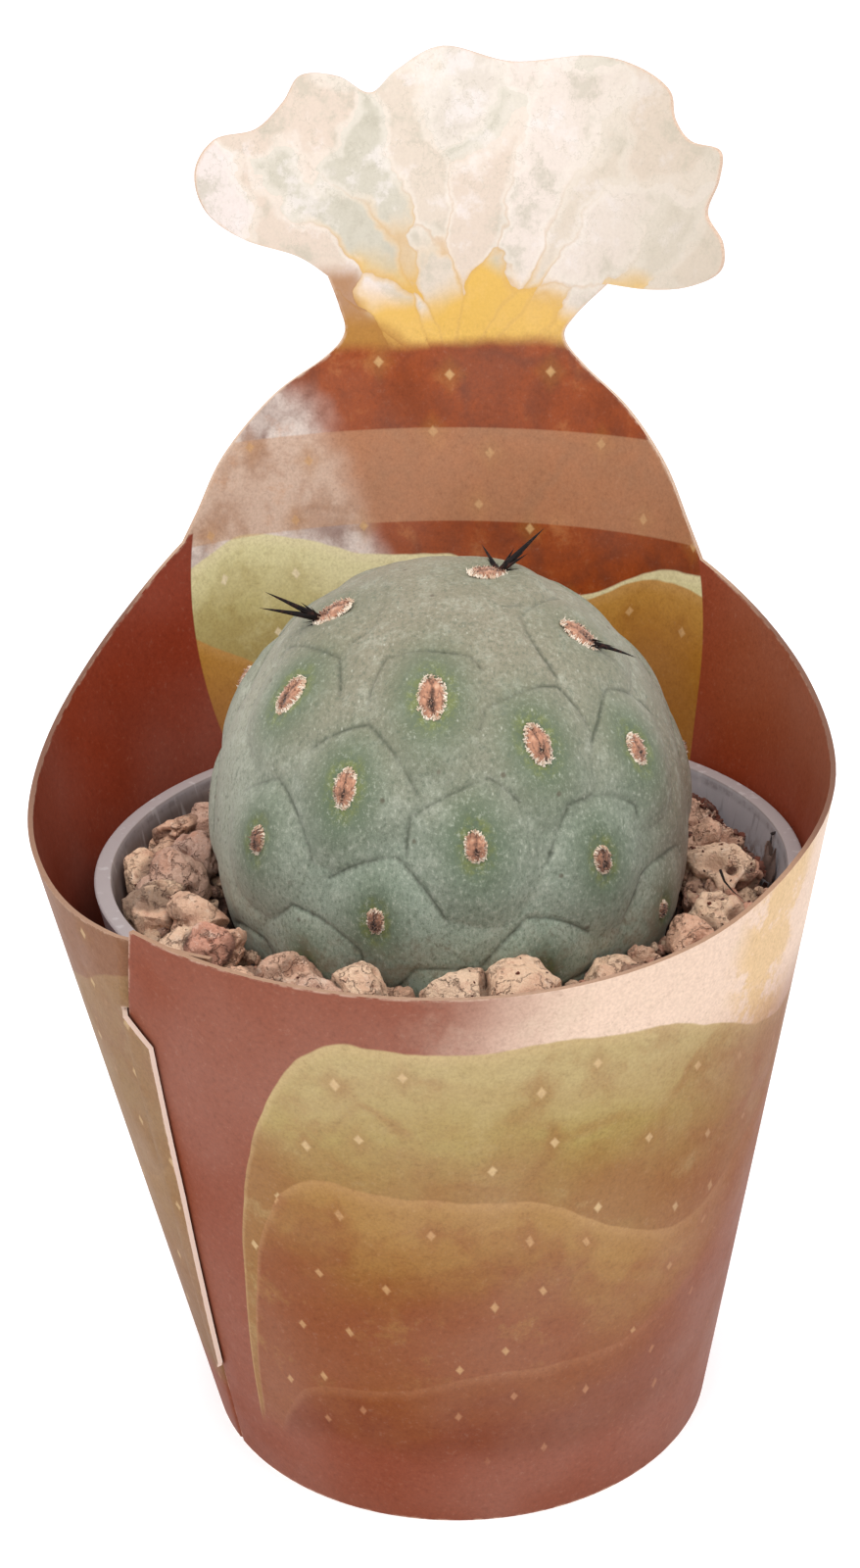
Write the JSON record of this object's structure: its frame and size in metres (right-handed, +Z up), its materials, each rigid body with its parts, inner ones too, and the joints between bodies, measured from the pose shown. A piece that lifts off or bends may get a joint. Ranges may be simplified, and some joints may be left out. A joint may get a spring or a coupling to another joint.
{
  "type": "potted round cactus",
  "caption": "Round tubercled cactus in a small plastic pot topped with gravel, standing in a printed card sleeve with a tall die-cut header.",
  "frame": {"origin": "middle of the pot's underside, on the surface the pot stands on", "axes": "+Z up, -Y the front with the sleeve's low edge, +Y the back with the tall header"},
  "size_m": [0.0617, 0.0696, 0.1043],
  "materials": {
    "printed_card": "semi-matt coated card, printed outside, plain red-brown inside",
    "grey_plastic": "moulded, light satin",
    "potting_soil": "rough, dark, crumbly",
    "pumice_gravel": "rough, porous, dry stone",
    "cactus_skin": "matt grey-green skin with a waxy bloom"
  },
  "bodies": {
    "root": {"card_sleeve": "printed_card", "pot": "grey_plastic", "soil": "potting_soil", "gravel": "pumice_gravel", "cactus": "cactus_skin"}
  },
  "joints": []
}
